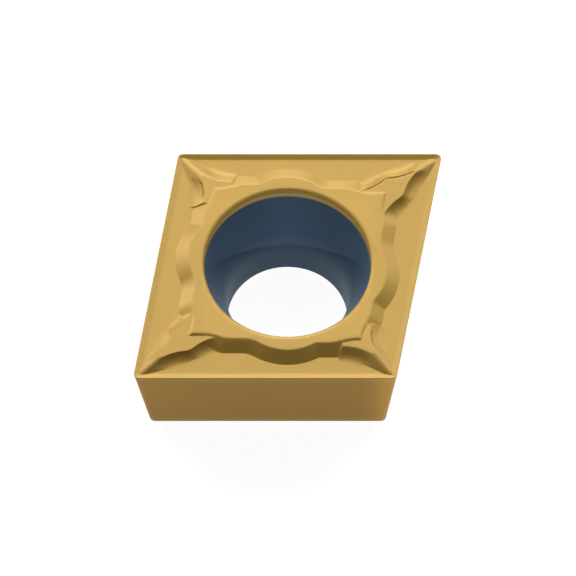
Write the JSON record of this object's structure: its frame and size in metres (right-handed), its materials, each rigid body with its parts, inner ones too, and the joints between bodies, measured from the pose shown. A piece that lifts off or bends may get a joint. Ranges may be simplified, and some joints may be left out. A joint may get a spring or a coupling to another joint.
{
  "type": "carbide turning insert",
  "caption": "Indexable rhombic turning insert with sharp relieved cutting edges, a raised chipbreaker round each corner and a countersunk screw hole.",
  "frame": {"origin": "the middle of the seat face, on the axis of the screw hole", "axes": "+Z out of the seat towards the chipbreaker, along the screw hole; +X along two of the cutting edges"},
  "size_m": [0.0112, 0.0096, 0.0042],
  "materials": {
    "coated_carbide": "gold coating on the outside, dark blue-grey coating in the screw hole"
  },
  "bodies": {
    "root": {"insert_body": "coated_carbide"}
  },
  "joints": []
}
